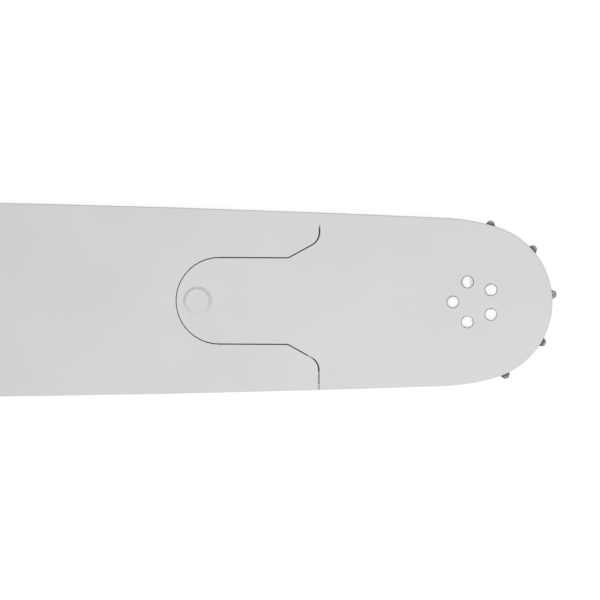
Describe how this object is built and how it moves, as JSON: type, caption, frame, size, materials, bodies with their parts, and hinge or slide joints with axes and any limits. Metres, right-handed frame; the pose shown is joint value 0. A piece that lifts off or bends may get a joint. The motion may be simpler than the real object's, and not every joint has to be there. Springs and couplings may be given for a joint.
{
  "type": "chainsaw guide bar",
  "caption": "Long flat painted steel guide bar with a chain groove round its edge, a slotted tail for the saw's studs and a riveted nose tip whose toothed wheel carries the chain round.",
  "frame": {"origin": "centre of the stud slot on the bar's lower face", "axes": "+X along the bar from the tail to the nose, +Y across the bar, +Z out of the upper face"},
  "size_m": [0.5815, 0.0676, 0.0055],
  "materials": {
    "bar_paint": "pale grey-white satin paint",
    "rivet_steel": "ground flush and left bare",
    "wheel_steel": "hardened, dark, worn bright at the tooth crests",
    "core_steel": "bare plate, oiled",
    "bearing_steel": "hardened and ground bright"
  },
  "bodies": {
    "bar": {"bar_body": "bar_paint", "nose_cheek_upper": "bar_paint", "nose_cheek_lower": "bar_paint", "nose_core": "core_steel", "bearing_race": "bearing_steel", "nose_rivets": "rivet_steel", "tongue_rivet": "bar_paint"},
    "wheel": {"nose_sprocket": "wheel_steel"},
    "rollers": {"roller_01": "bearing_steel", "roller_02": "bearing_steel", "roller_03": "bearing_steel", "roller_04": "bearing_steel", "roller_05": "bearing_steel", "roller_06": "bearing_steel", "roller_07": "bearing_steel", "roller_08": "bearing_steel", "roller_09": "bearing_steel", "roller_10": "bearing_steel", "roller_11": "bearing_steel", "roller_12": "bearing_steel", "roller_13": "bearing_steel", "roller_14": "bearing_steel", "roller_15": "bearing_steel", "roller_16": "bearing_steel", "roller_17": "bearing_steel", "roller_18": "bearing_steel", "roller_19": "bearing_steel"}
  },
  "joints": [
    {"name": "wheel_spin", "type": "hinge", "parent": "bar", "child": "wheel", "pos_m": [0.50171, 0, 0.0026], "axis": [0, 0, 1], "continuous": true},
    {"name": "roller_orbit", "type": "hinge", "parent": "bar", "child": "rollers", "pos_m": [0.50171, 0, 0.0026], "axis": [0, 0, 1], "continuous": true}
  ],
  "couplings": [
    {"joint": "roller_orbit", "follows": "wheel_spin", "ratio": 0.57854}
  ]
}
